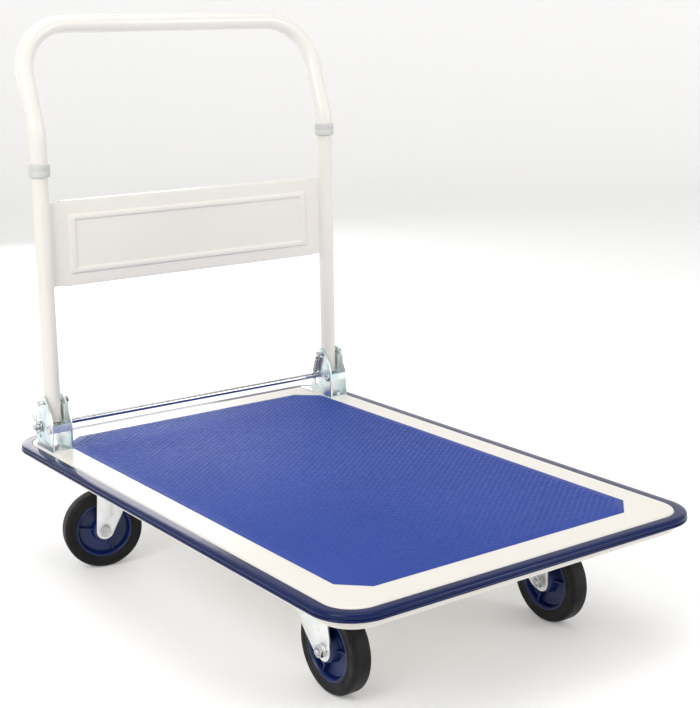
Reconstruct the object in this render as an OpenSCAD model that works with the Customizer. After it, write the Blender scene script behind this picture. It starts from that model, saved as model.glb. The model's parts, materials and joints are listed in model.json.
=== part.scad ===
// Folding platform cart: a flat steel deck on two rigid and two swivel casters,
// with a bent-tube push handle that folds forward over the deck.
// Millimetres, +Z up, floor at z = 0, handle at +Y, deck centred on X and Y.

/* [Deck] */
// Overall width over the bumper
deck_w = 610; // [500:1:700]
// Overall length over the bumper
deck_l = 926; // [700:1:1000]
// Height of the painted deck above the floor
deck_top = 186.5; // [150:0.5:220]
// Thickness of the deck's steel sheet
deck_sheet = 1.5; // [1:0.1:3]
// Height of the folded skirt around the deck
skirt_h = 26.5; // [20:0.5:40]
// Radius of the rounded edge between deck and skirt
edge_r = 5; // [2:0.5:10]
// Corner radius of the skirt seen from above
deck_corner_r = 43; // [30:1:80]
// Width of the lip folded in under the skirt
skirt_lip = 4; // [3:1:12]

/* [Mat and bumper] */
// Width of the blue deck mat
mat_w = 492; // [400:1:560]
// Length of the blue deck mat
mat_l = 801; // [600:1:860]
// Size of the mat's cut corners
mat_cut = 34.5; // [10:0.5:60]
// Thickness of the mat
mat_t = 1.2; // [0.8:0.1:4]
// How far the bumper stands out of the skirt
bumper_out = 17; // [10:0.5:25]
// Height of the bumper
bumper_h = 11; // [10:0.2:25]
// How far the bumper's top lies below the deck
bumper_drop = 1.5; // [1:0.1:8]
// Radius of the bumper's upper lobe
bumper_lobe_r = 3.5; // [2:0.1:6]
// Radius of the bumper's lower lobe
bumper_low_r = 2.2; // [1.5:0.1:4]

/* [Handle] */
// Distance from the middle to each handle tube
tube_x = 266; // [220:1:280]
// Distance of the handle tubes behind the deck centre
tube_y = 371.5; // [340:0.5:400]
// Outside diameter of the handle tube
tube_d = 25.4; // [20:0.1:32]
// Wall of the handle tube
tube_wall = 1.6; // [1:0.1:3]
// Height of the tube's lower end
tube_foot_z = 230; // [225:1:240]
// Height where the handle starts to lean back
lean_z = 669.5; // [600:0.5:720]
// Angle the top of the handle leans back
lean_deg = 19; // [0:0.5:40]
// Bend radius, on the tube's centre line, where the lean starts
lean_r = 80; // [50:1:150]
// Bend radius of the two top corners
corner_r = 80; // [50:1:120]
// Height of the middle of the top bar
bar_z = 844.5; // [780:0.5:900]
// Outside diameter of the soft grip sleeve
grip_d = 27.6; // [26:0.1:34]
// Height where the grip sleeve starts on the left tube
grip_left_z = 622; // [560:1:660]
// Height where the grip sleeve starts on the right tube
grip_right_z = 655; // [600:1:660]
// Outside diameter of the grey collars
collar_d = 33; // [29:0.5:40]
// Height of the grey collars
collar_h = 20; // [10:1:30]
// Height of the left collar's middle
collar_left_z = 626; // [580:1:650]
// Height of the right collar's middle
collar_right_z = 659; // [600:1:660]

/* [Sign panel] */
// Height of the panel's lower edge
panel_low_z = 442; // [400:1:500]
// Height of the panel's upper edge
panel_top_z = 577; // [520:1:640]
// Thickness of the panel sheet
panel_t = 1.2; // [0.8:0.1:2]
// Depth of the panel's folded upper and lower edges
panel_hem = 8; // [4:0.5:15]
// Angle the panel's ends wrap around the tubes
wrap_deg = 105; // [60:1:150]
// How far the pressed frame stands out of the panel
press_out = 2; // [0.5:0.5:4]

/* [Hinge] */
// Distance of the hinge pins behind the deck centre
pivot_y = 350.3; // [340:0.1:365]
// Height of the hinge pins
pivot_z = 222; // [210:0.5:240]
// Diameter of the hinge pins
pivot_d = 8; // [6:0.5:10]
// Distance of the lock rod behind the deck centre
rod_y = 385.3; // [375:0.1:400]
// Height of the lock rod
rod_z = 220.3; // [205:0.1:235]
// Diameter of the lock rod
rod_d = 9; // [6:0.5:12]
// How far the lock rod can be pressed down
rod_travel = 14; // [8:0.5:16]
// Thickness of the hinge bracket's plate
cheek_t = 2.5; // [2:0.1:4]
// Gap between the two cheeks of a bracket
cheek_gap = 29.4; // [28:0.1:36]
// Distance of the upper spring studs behind the deck centre
stud_y = 370; // [360:0.5:378]
// Height of the upper spring studs
stud_z = 262; // [255:0.5:268]

/* [Casters] */
// Wheel diameter
wheel_d = 124; // [100:1:150]
// Width of the tyre
tyre_w = 28; // [24:0.5:40]
// Diameter of the seat between tyre and wheel centre
rim_d = 88; // [70:1:100]
// Distance from the middle to the wheels and swivel axes
caster_x = 188; // [150:1:220]
// Distance of the front wheels ahead of the deck centre
front_y = 284.5; // [240:0.5:330]
// Distance of the front wheels ahead of their caster plates' centres
front_offset = 28; // [0:0.5:30]
// Distance of the swivel axes behind the deck centre
rear_y = 297; // [260:0.5:330]
// Distance the rear wheels trail their swivel axes
trail = 36; // [20:1:45]
// Direction the rear wheels trail, counted from +X
swivel_deg = 167; // [0:1:360]
// Height of the top of the caster plates
plate_z = 158; // [150:0.5:159]
// Thickness of the caster plates
plate_t = 4; // [3:0.5:6]
// Gap between the legs of a caster fork
fork_gap = 35; // [32:0.5:44]
// Thickness of the caster fork's plate
fork_t = 2.5; // [2:0.1:4]
// Number of balls in each swivel bearing
balls = 18; // [10:1:24]

/* [Hidden] */
$fn = 64;
wheel_r = wheel_d / 2;
tube_r = tube_d / 2;
grip_r = grip_d / 2;
bore_r = tube_r - tube_wall;
skirt_x = deck_w / 2 - bumper_out;
skirt_y = deck_l / 2 - bumper_out;
skirt_z = deck_top - skirt_h;
front_plate_y = front_offset - front_y;
sheet_z = deck_top - deck_sheet;
bumper_z = deck_top - bumper_drop - bumper_h;
base_z = deck_top + cheek_t;
web_t = 2;
bolt_r = 4;
bolt_hole_r = 4.4;
hex13 = 13 / sqrt(3);
hex16 = 16 / sqrt(3);
web_w = 94;
rear_web_z = plate_z - plate_t - 12.5;
bolt_dx = 29;
bolt_dy = 34;
lean_dy = lean_r * (1 - cos(lean_deg));
lean_dz = lean_r * sin(lean_deg);
lean_len = (bar_z - lean_z - lean_dz) / cos(lean_deg);
bar_y = tube_y + lean_dy + lean_len * sin(lean_deg);
bracket_front = 340;
bracket_rear = 400;
bolt_x = tube_x + 3;
bolt_ys = [352, 412];
weld_gap = 0.3;
rod_half = tube_x + cheek_gap / 2 + cheek_t + 11;
washer_t = 1.6;

// ---- shared helpers ----

// Rectangle with round corners, seen from above.
module rounded_plan(half_x, half_y, r) {
    square([2 * half_x, 2 * (half_y - r)], center = true);
    square([2 * (half_x - r), 2 * half_y], center = true);
    for (sx = [-1, 1], sy = [-1, 1])
        translate([sx * (half_x - r), sy * (half_y - r)])
            circle(r);
}

// Sweeps a profile (distance from corner centre, height) around a rounded rectangle.
module sweep_around(half_x, half_y, r) {
    for (a = [0, 180])
        rotate([0, 0, a]) {
            translate([half_x - r, 0, 0])
                rotate([90, 0, 0])
                    linear_extrude(2 * (half_y - r), center = true)
                        children();
            rotate([0, 0, 90])
                translate([half_y - r, 0, 0])
                    rotate([90, 0, 0])
                        linear_extrude(2 * (half_x - r), center = true)
                            children();
            translate([half_x - r, half_y - r, 0])
                rotate_extrude(angle = 90)
                    children();
            translate([-(half_x - r), half_y - r, 0])
                rotate([0, 0, 90])
                    rotate_extrude(angle = 90)
                        children();
        }
}

// Plate of the given thickness standing in the Y-Z plane at x.
module side_plate(x, t) {
    translate([x, 0, 0])
        rotate([90, 0, 90])
            linear_extrude(t, center = true)
                children();
}

module box_between(x0, x1, y0, y1, z0, z1) {
    translate([x0, y0, z0])
        cube([x1 - x0, y1 - y0, z1 - z0]);
}

// ---- deck ----

module pan_profile() {
    r = deck_corner_r;
    difference() {
        union() {
            translate([r - edge_r, deck_top - edge_r])
                circle(edge_r);
            translate([r - deck_sheet, skirt_z])
                square([deck_sheet, skirt_h - edge_r]);
            translate([r - 20, sheet_z])
                square([20 - edge_r, deck_sheet]);
        }
        translate([r - edge_r, deck_top - edge_r])
            circle(edge_r - deck_sheet);
        translate([r - 20, skirt_z - 1])
            square([20 - deck_sheet, skirt_h - edge_r + 1]);
        translate([r - 20, skirt_z])
            square([20 - edge_r, skirt_h - deck_sheet]);
    }
    translate([r - skirt_lip, skirt_z])
        square([skirt_lip, deck_sheet]);
}

module bracket_bolt_points() {
    for (sx = [-1, 1], y = bolt_ys)
        translate([sx * bolt_x, y, 0])
            children();
}

module deck_pan() {
    color("ivory")
        difference() {
            union() {
                sweep_around(skirt_x, skirt_y, deck_corner_r)
                    pan_profile();
                translate([0, 0, sheet_z])
                    linear_extrude(deck_sheet)
                        rounded_plan(skirt_x - 15, skirt_y - 15, deck_corner_r - 15);
            }
            bracket_bolt_points()
                translate([0, 0, sheet_z - 1])
                    cylinder(r = bolt_hole_r, h = deck_sheet + 2);
        }
}

// Open channel across the deck with four bolt holes at each caster.
module cross_channel(y) {
    color("ivory")
        difference() {
            translate([0, y, 0]) {
                box_between(-283.5, 283.5, -web_w / 2, web_w / 2, plate_z, plate_z + web_t);
                for (s = [-1, 1])
                    box_between(-283.5, 283.5, s * (web_w / 2 - 1) - 1,
                        s * (web_w / 2 - 1) + 1, plate_z, sheet_z);
            }
            caster_bolt_points(y)
                translate([0, 0, plate_z - 1])
                    cylinder(r = bolt_hole_r, h = web_t + 2);
        }
}

module front_cross_channel() {
    cross_channel(front_plate_y);
}

module rear_cross_channel() {
    cross_channel(rear_y);
}

module deck_rails() {
    low = front_plate_y + web_w / 2;
    high = rear_y - web_w / 2;
    color("ivory")
        for (sx = [-1, 1])
            translate([sx * 95, 0, 0]) {
                box_between(-20, 20, low, high, skirt_z + 2, skirt_z + 2 + web_t);
                for (s = [-1, 1])
                    box_between(s * 19 - 1, s * 19 + 1, low, high, skirt_z + 2, sheet_z);
            }
}

// Open channel under each hinge bracket that takes the bracket's bolts.
module bracket_stiffeners() {
    color("ivory")
        difference() {
            for (sx = [-1, 1])
                translate([sx * bolt_x, 0, 0]) {
                    box_between(-11, 11, 344.3, 419.5, plate_z, plate_z + web_t);
                    for (s = [-1, 1])
                        box_between(s * 10 - 1, s * 10 + 1, 344.3, 419.5, plate_z, sheet_z);
                }
            bracket_bolt_points()
                translate([0, 0, plate_z - 1])
                    cylinder(r = bolt_hole_r, h = web_t + 2);
        }
}

module deck_mat() {
    x = mat_w / 2;
    y = mat_l / 2;
    c = mat_cut;
    color("royalblue")
        translate([0, 0, deck_top])
            linear_extrude(mat_t)
                polygon([[-x + c, -y], [x - c, -y], [x, -y + c], [x, y - c],
                    [x - c, y], [-x + c, y], [-x, y - c], [-x, -y + c]]);
}

module bumper_profile() {
    r = deck_corner_r;
    up = bumper_lobe_r;
    low = bumper_low_r;
    tip = r + bumper_out;
    translate([r, bumper_z])
        square([bumper_out - up - 1, bumper_h]);
    translate([r, bumper_z])
        square([bumper_out - low, low]);
    translate([tip - low, bumper_z + low])
        circle(low);
    translate([tip - 0.6 - up, bumper_z + bumper_h - up])
        circle(up);
    translate([tip - up - 2, bumper_z + low])
        square([up, bumper_h - low - up]);
}

module bumper() {
    color("midnightblue")
        sweep_around(skirt_x, skirt_y, deck_corner_r)
            bumper_profile();
}

// ---- hinge brackets ----

module cheek_profile() {
    difference() {
        union() {
            polygon([[bracket_front, deck_top], [bracket_front, 232], [346, 247.5],
                [354, 261], [363.6, 269.3], [377.3, 267.8], [bracket_rear, 214],
                [bracket_rear, deck_top]]);
            translate([370, 264.5])
                circle(8);
        }
        translate([pivot_y, pivot_z])
            circle(pivot_d / 2 + 0.02);
        translate([stud_y, stud_z])
            circle(3.02);
        translate([rod_y, rod_z])
            circle(rod_d / 2 + 0.08);
        translate([rod_y, rod_z - rod_travel])
            circle(rod_d / 2 + 0.08);
        translate([rod_y - rod_d / 2 - 0.08, rod_z - rod_travel])
            square([rod_d + 0.16, rod_travel]);
    }
}

module hinge_bracket(side) {
    half = cheek_gap / 2 + cheek_t;
    color("lightsteelblue")
        translate([side * tube_x, 0, 0])
            difference() {
                union() {
                    for (s = [-1, 1])
                        side_plate(s * (cheek_gap + cheek_t) / 2, cheek_t)
                            cheek_profile();
                    translate([0, 0, deck_top])
                        linear_extrude(cheek_t)
                            mirror([side > 0 ? 0 : 1, 0])
                                polygon([[-half, bracket_front], [half, bracket_front],
                                    [half, 403], [12, 419], [-4, 434], [-10, 437], [-half, 437]]);
                    box_between(-half, half, bracket_front, bracket_front + cheek_t, 218, 229.5);
                }
                for (y = bolt_ys)
                    translate([side * (bolt_x - tube_x), y, deck_top - 1])
                        cylinder(r = bolt_hole_r, h = cheek_t + 2);
            }
}

module hinge_bracket_left() {
    hinge_bracket(-1);
}

module hinge_bracket_right() {
    hinge_bracket(1);
}

module bracket_bolts() {
    color("silver")
        bracket_bolt_points() {
            translate([0, 0, base_z])
                cylinder(r = hex13, h = 5.3, $fn = 6);
            translate([0, 0, plate_z - 11])
                cylinder(r = bolt_r, h = base_z - plate_z + 12);
        }
}

module bracket_nuts() {
    color("silver")
        bracket_bolt_points()
            translate([0, 0, plate_z - 6.5])
                difference() {
                    cylinder(r = hex13, h = 6.5, $fn = 6);
                    translate([0, 0, -1])
                        cylinder(r = bolt_r + 0.05, h = 9);
                }
}

// Pin along X through both cheeks of a bracket, with a head at each end.
module hinge_pins() {
    half = cheek_gap / 2 + cheek_t;
    color("silver")
        for (sx = [-1, 1])
            translate([sx * tube_x, pivot_y, pivot_z])
                rotate([0, 90, 0]) {
                    cylinder(r = pivot_d / 2, h = 2 * half, center = true);
                    for (s = [-1, 1])
                        translate([0, 0, s * (half + 1.1)])
                            cylinder(r = 6.5, h = 2.2, center = true);
                }
}

// Short headed studs on the cheeks that the lock springs hook onto.
module spring_studs() {
    half = cheek_gap / 2;
    color("silver")
        for (sx = [-1, 1], s = [-1, 1])
            translate([sx * tube_x + s * half, stud_y, stud_z])
                rotate([0, s * 90, 0]) {
                    translate([0, 0, 0.3])
                        cylinder(r = 3, h = 10);
                    translate([0, 0, 8.5])
                        cylinder(r = 4.6, h = 2);
                }
}

// ---- handle ----

module tube_section(r, r_in) {
    difference() {
        circle(r);
        circle(r_in);
    }
}

// Straight length of tube along Z that stops just short of the bends it meets.
module straight(r, r_in, length, gap_low, gap_high) {
    translate([0, 0, gap_low])
        linear_extrude(length - gap_low - gap_high)
            tube_section(r, r_in);
}

// Weld band, barely thicker than the tube, where a straight length meets a bend.
module weld(r, r_in) {
    linear_extrude(2, center = true)
        tube_section(r + 0.05, r_in - 0.05);
}

// One side of the bent handle, from height low_z to the start of the top bar.
module handle_half(side, r, r_in, low_z) {
    up = lean_len - corner_r;
    translate([side * tube_x, tube_y, low_z])
        straight(r, r_in, lean_z - low_z, 0, weld_gap);
    translate([side * tube_x, tube_y, lean_z])
        weld(r, r_in);
    translate([side * tube_x, tube_y + lean_r, lean_z])
        rotate([90, 0, -90])
            rotate_extrude(angle = lean_deg)
                translate([lean_r, 0])
                    tube_section(r, r_in);
    translate([side * tube_x, tube_y + lean_dy, lean_z + lean_dz])
        rotate([-lean_deg, 0, 0]) {
            weld(r, r_in);
            straight(r, r_in, up, weld_gap, weld_gap);
            translate([0, 0, up])
                weld(r, r_in);
            translate([-side * corner_r, 0, up])
                rotate([90, 0, 0])
                    rotate([0, 0, side > 0 ? 0 : 90])
                        rotate_extrude(angle = 90)
                            translate([corner_r, 0])
                                tube_section(r, r_in);
            translate([-side * corner_r, 0, lean_len])
                rotate([0, 90, 0])
                    weld(r, r_in);
        }
}

module handle_path(r, r_in, left_z, right_z) {
    handle_half(-1, r, r_in, left_z);
    handle_half(1, r, r_in, right_z);
    translate([corner_r - tube_x, bar_y, bar_z])
        rotate([0, 90, 0])
            straight(r, r_in, 2 * (tube_x - corner_r), weld_gap, weld_gap);
}

module handle_tube() {
    color("ivory")
        difference() {
            handle_path(tube_r, bore_r, tube_foot_z, tube_foot_z);
            shoe_rivet_points()
                rotate([0, 90, 0])
                    cylinder(r = 2.52, h = 40, center = true);
        }
}

module grip_sleeve() {
    color("whitesmoke")
        handle_path(grip_r, tube_r + 0.15, grip_left_z, grip_right_z);
}

module collar(side, z) {
    r0 = grip_r + 0.1;
    r1 = collar_d / 2;
    h = collar_h / 2;
    color("gainsboro")
        translate([side * tube_x, tube_y, z])
            rotate_extrude()
                polygon([[r0, -h], [r1 - 1.2, -h], [r1, 1.2 - h], [r1, h - 1.2], [r1 - 1.2, h],
                    [r0, h]]);
}

module collar_left() {
    collar(-1, collar_left_z);
}

module collar_right() {
    collar(1, collar_right_z);
}

// ---- sign panel ----

module panel_wrap(side) {
    back = 4;
    trim = 0.3;
    translate([side * tube_x, tube_y, panel_low_z])
        rotate([0, 0, side > 0 ? 180 - back : -wrap_deg])
            rotate_extrude(angle = wrap_deg + back)
                translate([tube_r + 0.05, trim])
                    square([panel_t, panel_top_z - panel_low_z - 2 * trim]);
}

module press_ring() {
    difference() {
        translate([-224, 18])
            square([448, 95]);
        translate([-210, 29])
            square([420, 73]);
    }
}

module sign_panel() {
    h = panel_top_z - panel_low_z;
    half = tube_x - tube_r - 0.7;
    color("ivory") {
        translate([0, tube_y, panel_low_z])
            difference() {
                union() {
                    box_between(-half, half, -panel_t, 0, 0, h);
                    for (z = [0, h - panel_t])
                        box_between(-half + 6, half - 6, -panel_t, panel_hem, z, z + panel_t);
                    for (z = [0, h - 7])
                        box_between(-half + 6, half - 6, panel_hem - panel_t, panel_hem, z, z + 7);
                    rotate([90, 0, 0])
                        linear_extrude(panel_t + press_out)
                            press_ring();
                }
                translate([0, 0.5, 0])
                    rotate([90, 0, 0])
                        linear_extrude(press_out + 0.5)
                            difference() {
                                translate([-224 + panel_t, 18 + panel_t])
                                    square([448 - 2 * panel_t, 95 - 2 * panel_t]);
                                translate([-210 - panel_t, 29 - panel_t])
                                    square([420 + 2 * panel_t, 73 + 2 * panel_t]);
                            }
            }
        for (s = [-1, 1])
            panel_wrap(s);
    }
}

// ---- hinge shoes: plates that carry each tube's foot on its hinge pin ----

module shoe_profile() {
    difference() {
        translate([pivot_y, pivot_z])
            union() {
                circle(7);
                polygon([[0, -7], [0, 7], [3, 6], [7.5, 7.3], [8.2, 10.2], [8.2, 36],
                    [36, 36], [36, 10], [27.5, 4], [27.5, -7]]);
            }
        translate([pivot_y, pivot_z])
            circle(pivot_d / 2 + 0.05);
    }
}

module shoe_rivet_points() {
    for (sx = [-1, 1])
        translate([sx * tube_x, tube_y, pivot_z + 24])
            children();
}

module hinge_shoe(side) {
    plate = 1.6;
    color("lightsteelblue")
        translate([side * tube_x, 0, 0])
            difference() {
                union() {
                    for (s = [-1, 1])
                        side_plate(s * (tube_r + plate / 2 + 0.05), plate)
                            shoe_profile();
                    box_between(-tube_r - plate, tube_r + plate, tube_y + tube_r + 0.05,
                        tube_y + tube_r + 0.05 + plate, pivot_z + 10, pivot_z + 36);
                }
                translate([0, tube_y, pivot_z + 24])
                    rotate([0, 90, 0])
                        cylinder(r = 2.52, h = 60, center = true);
            }
}

module hinge_shoe_left() {
    hinge_shoe(-1);
}

module hinge_shoe_right() {
    hinge_shoe(1);
}

module shoe_rivets() {
    color("silver")
        shoe_rivet_points()
            rotate([0, 90, 0])
                cylinder(r = 2.5, h = tube_d + 3.3, center = true);
}

// ---- lock rod ----

module lock_rod() {
    color("silver")
        difference() {
            translate([0, rod_y, rod_z])
                rotate([0, 90, 0])
                    cylinder(r = rod_d / 2, h = 2 * rod_half, center = true);
            for (s = [-1, 1])
                translate([s * (rod_half - 5), rod_y, rod_z])
                    cylinder(r = 1.52, h = 20, center = true);
        }
}

module lock_washers() {
    color("silver")
        for (s = [-1, 1])
            translate([s * (rod_half - 9.9), rod_y, rod_z])
                rotate([0, 90, 0])
                    difference() {
                        cylinder(r = 8.5, h = washer_t, center = true);
                        cylinder(r = rod_d / 2 + 0.05, h = 5, center = true);
                    }
}

// Split pins stand through the rod's ends, with one leg bent away to the rear.
module lock_split_pins() {
    color("silver")
        for (s = [-1, 1])
            translate([s * (rod_half - 5), rod_y, rod_z]) {
                cylinder(r = 1.5, h = 13, center = true);
                cylinder(r = 0.8, h = 21);
                translate([0, 0, 5.5])
                    rotate([-50, 0, 0])
                        cylinder(r = 0.8, h = 19);
                translate([0, 0, -8.2])
                    rotate([0, 90, 0])
                        rotate_extrude()
                            translate([2.2, 0])
                                circle(1.2);
            }
}

// Tension spring from a stud to the lock rod, with a loop at each end.
module lock_spring(side) {
    dy = rod_y - stud_y;
    dz = stud_z - rod_z;
    len = sqrt(dy * dy + dz * dz);
    color("silver")
        translate([side * (tube_x - cheek_gap / 2 - cheek_t - 4.9), stud_y, stud_z])
            rotate([180 + atan2(dy, dz), 0, 0]) {
                translate([0, 0, 7])
                    cylinder(r = 4.5, h = len - 15);
                spring_loop(3.75, 0);
                spring_loop(rod_d / 2 + 0.75, len);
                translate([0, 0, 4])
                    cylinder(r = 0.6, h = 4);
                translate([0, 0, len - 9])
                    cylinder(r = 0.6, h = 3.7);
            }
}

module spring_loop(r, z) {
    translate([0, 0, z])
        rotate([0, 90, 0])
            rotate_extrude()
                translate([r, 0])
                    circle(0.6);
}

module lock_spring_left() {
    lock_spring(-1);
}

module lock_spring_right() {
    lock_spring(1);
}

// ---- casters ----

module caster_bolt_points(y) {
    for (sx = [-1, 1], dx = [-1, 1], dy = [-1, 1])
        translate([sx * caster_x + dx * bolt_dx, y + dy * bolt_dy, 0])
            children();
}

module caster_bolts() {
    color("silver")
        for (y = [front_plate_y, rear_y])
            caster_bolt_points(y) {
                translate([0, 0, plate_z - plate_t - 5.3])
                    cylinder(r = hex13, h = 5.3, $fn = 6);
                translate([0, 0, plate_z - plate_t - 1])
                    cylinder(r = bolt_r, h = 15);
            }
}

module caster_nuts() {
    color("silver")
        for (y = [front_plate_y, rear_y])
            caster_bolt_points(y)
                translate([0, 0, plate_z + web_t])
                    difference() {
                        cylinder(r = hex13, h = 6.5, $fn = 6);
                        translate([0, 0, -1])
                            cylinder(r = bolt_r + 0.05, h = 9);
                    }
}

// Mounting plate, 92 mm along Y, with its four bolt holes.
module caster_plate() {
    difference() {
        translate([0, 0, plate_z - plate_t])
            linear_extrude(plate_t)
                rounded_plan(40, 46, 8);
        for (dx = [-1, 1], dy = [-1, 1])
            translate([dx * bolt_dx, dy * bolt_dy, plate_z - plate_t - 1])
                cylinder(r = bolt_hole_r, h = plate_t + 2);
    }
}

// U-shaped section of a fork, across the axle: gap, plate and top height.
module fork_section(top_z) {
    half = fork_gap / 2;
    difference() {
        translate([-half - fork_t, 0])
            union() {
                square([fork_gap + 2 * fork_t, top_z - 5]);
                translate([5, 0])
                    square([fork_gap + 2 * fork_t - 10, top_z]);
                for (x = [5, fork_gap + 2 * fork_t - 5])
                    translate([x, top_z - 5])
                        circle(5);
            }
        translate([-half, -1])
            square([fork_gap, top_z - fork_t - 2.5 + 1]);
        translate([-half + 2.5, 0])
            square([fork_gap - 5, top_z - fork_t]);
        for (x = [-half + 2.5, half - 2.5])
            translate([x, top_z - fork_t - 2.5])
                circle(2.5);
    }
}

// Front fork leg from the side: straight in front, sloping outwards behind.
module front_leg() {
    y = -front_offset;
    top_z = plate_z - plate_t;
    translate([y, wheel_r])
        circle(15);
    polygon([[y - 14.9, wheel_r - 1], [y - 14.5, wheel_r + 20], [y - 11, wheel_r + 42],
        [y - 11, top_z], [42, top_z], [42, 114], [31, 97], [9, 71],
        [y + 17, wheel_r - 10], [y + 4, wheel_r - 14.4]]);
}

// Rear fork leg from the side, with the axle trailing the swivel axis.
module rear_leg() {
    translate([trail, wheel_r])
        circle(13.5);
    polygon([[trail - 11.8, wheel_r - 6.5], [-20, rear_web_z], [45, rear_web_z],
        [trail + 13.4, wheel_r + 0.9]]);
}

// Fork with its open side down; the leg's outline is the child.
module fork(offset, top_z) {
    half = fork_gap / 2 + fork_t;
    difference() {
        intersection() {
            rotate([90, 0, 0])
                linear_extrude(160, center = true)
                    fork_section(top_z);
            side_plate(0, 80)
                children();
        }
        translate([0, offset, wheel_r])
            rotate([0, 90, 0])
                cylinder(r = 5.05, h = 80, center = true);
        for (s = [-1, 1])
            translate([s * (half + 1.1) - 2, offset * 0.62 - 4, wheel_r + 24])
                cube([4, 8, top_z - wheel_r - 34]);
    }
}

module front_fork(side) {
    color("lightgray")
        translate([side * caster_x, front_plate_y, 0]) {
            caster_plate();
            fork(-front_offset, plate_z - plate_t)
                front_leg();
        }
}

module front_left_fork() {
    front_fork(-1);
}

module front_right_fork() {
    front_fork(1);
}

// Places wheel parts, drawn with the axle along Z; both front nuts face -X.
module at_front_wheel(side) {
    translate([side * caster_x, -front_y, wheel_r])
        rotate([0, 90, 0])
            children();
}

module at_swivel(side) {
    translate([side * caster_x, rear_y, 0])
        rotate([0, 0, swivel_deg])
            children();
}

module at_rear_wheel(side) {
    at_swivel(side)
        translate([trail, 0, wheel_r])
            rotate([-90, 0, 0])
                children();
}

module axle_bolt() {
    leg = fork_gap / 2 + fork_t;
    color("silver") {
        translate([0, 0, leg])
            cylinder(r = hex16, h = 6.4, $fn = 6);
        translate([0, 0, -leg - 11])
            cylinder(r = 5, h = 2 * leg + 12);
    }
}

module axle_nut() {
    leg = fork_gap / 2 + fork_t;
    color("silver")
        translate([0, 0, -leg - 8])
            difference() {
                cylinder(r = hex16, h = 8, $fn = 6);
                translate([0, 0, -1])
                    cylinder(r = 5.05, h = 10);
            }
}

module axle_sleeve() {
    color("silver")
        difference() {
            cylinder(r = 8, h = fork_gap, center = true);
            cylinder(r = 5.05, h = fork_gap + 2, center = true);
        }
}

module tyre() {
    half = tyre_w / 2;
    color("dimgray")
        rotate_extrude($fn = 128)
            difference() {
                union() {
                    translate([rim_d / 2, -half])
                        square([wheel_r - rim_d / 2 - 5, tyre_w]);
                    translate([rim_d / 2 + 4, -half + 5])
                        square([wheel_r - rim_d / 2 - 4, tyre_w - 10]);
                    for (z = [-half + 5, half - 5])
                        translate([wheel_r - 5, z])
                            circle(5);
                }
                translate([0, -half])
                    square([rim_d / 2 + 0.03, tyre_w]);
            }
}

module wheel_centre() {
    half = tyre_w / 2;
    rim_r = rim_d / 2;
    color("navy") {
        rotate_extrude($fn = 128) {
            difference() {
                translate([rim_r - 6, -half])
                    square([6, tyre_w]);
                translate([rim_r - 6, -half])
                    square([1.5, 1.5]);
                translate([rim_r - 6, half - 1.5])
                    square([1.5, 1.5]);
            }
            translate([17, -3])
                square([rim_r - 17 - 5, 6]);
            translate([8.06, -fork_gap / 2 + 0.5])
                square([10, fork_gap - 1]);
        }
        for (a = [0, 120, 240])
            rotate([0, 0, a + 60])
                translate([17, -1.5, -half + 3])
                    cube([rim_r - 17 - 5, 3, tyre_w - 6]);
    }
}

module front_axle_bolts() {
    for (s = [-1, 1])
        at_front_wheel(s)
            axle_bolt();
}

module front_axle_nuts() {
    for (s = [-1, 1])
        at_front_wheel(s)
            axle_nut();
}

module front_axle_sleeves() {
    for (s = [-1, 1])
        at_front_wheel(s)
            axle_sleeve();
}

module front_left_tyre() {
    at_front_wheel(-1)
        tyre();
}

module front_left_wheel_centre() {
    at_front_wheel(-1)
        wheel_centre();
}

module front_right_tyre() {
    at_front_wheel(1)
        tyre();
}

module front_right_wheel_centre() {
    at_front_wheel(1)
        wheel_centre();
}

// Fixed half of a swivel: mounting plate with the dust skirt over the balls.
module rear_top_plate(side) {
    color("lightgray")
        translate([side * caster_x, rear_y, 0])
            difference() {
                union() {
                    caster_plate();
                    translate([0, 0, plate_z - plate_t - 3])
                        cylinder(r = 34, h = 3);
                    difference() {
                        translate([0, 0, plate_z - plate_t - 11])
                            cylinder(r = 34, h = 10);
                        translate([0, 0, plate_z - plate_t - 12])
                            cylinder(r = 31.6, h = 14);
                    }
                }
                translate([0, 0, plate_z - plate_t - 12])
                    cylinder(r = 6.05, h = 30);
            }
}

module rear_left_top_plate() {
    rear_top_plate(-1);
}

module rear_right_top_plate() {
    rear_top_plate(1);
}

module swivel_balls() {
    color("silver")
        for (side = [-1, 1], i = [0 : balls - 1])
            translate([side * caster_x, rear_y, plate_z - plate_t - 6.1])
                rotate([0, 0, i * 360 / balls])
                    translate([26.5, 0, 0])
                        sphere(3, $fn = 32);
}

module kingpins() {
    color("silver")
        for (side = [-1, 1])
            translate([side * caster_x, rear_y, 0]) {
                translate([0, 0, plate_z - plate_t - 20])
                    cylinder(r = 6, h = plate_t + 20);
                translate([0, 0, plate_z - plate_t - 21.5])
                    cylinder(r = 11, h = 5.5);
            }
}

module rear_fork() {
    color("lightgray")
        difference() {
            union() {
                rotate([0, 0, -90])
                    fork(trail, rear_web_z)
                        rear_leg();
                translate([0, 0, rear_web_z - fork_t])
                    cylinder(r = 31, h = fork_t + 3.3);
            }
            translate([0, 0, rear_web_z - 10])
                cylinder(r = 6.08, h = 20);
        }
}

module rear_left_fork() {
    at_swivel(-1)
        rear_fork();
}

module rear_right_fork() {
    at_swivel(1)
        rear_fork();
}

module rear_left_axle_bolt() {
    at_rear_wheel(-1)
        axle_bolt();
}

module rear_left_axle_nut() {
    at_rear_wheel(-1)
        axle_nut();
}

module rear_left_axle_sleeve() {
    at_rear_wheel(-1)
        axle_sleeve();
}

module rear_left_tyre() {
    at_rear_wheel(-1)
        tyre();
}

module rear_left_wheel_centre() {
    at_rear_wheel(-1)
        wheel_centre();
}

module rear_right_axle_bolt() {
    at_rear_wheel(1)
        axle_bolt();
}

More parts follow.
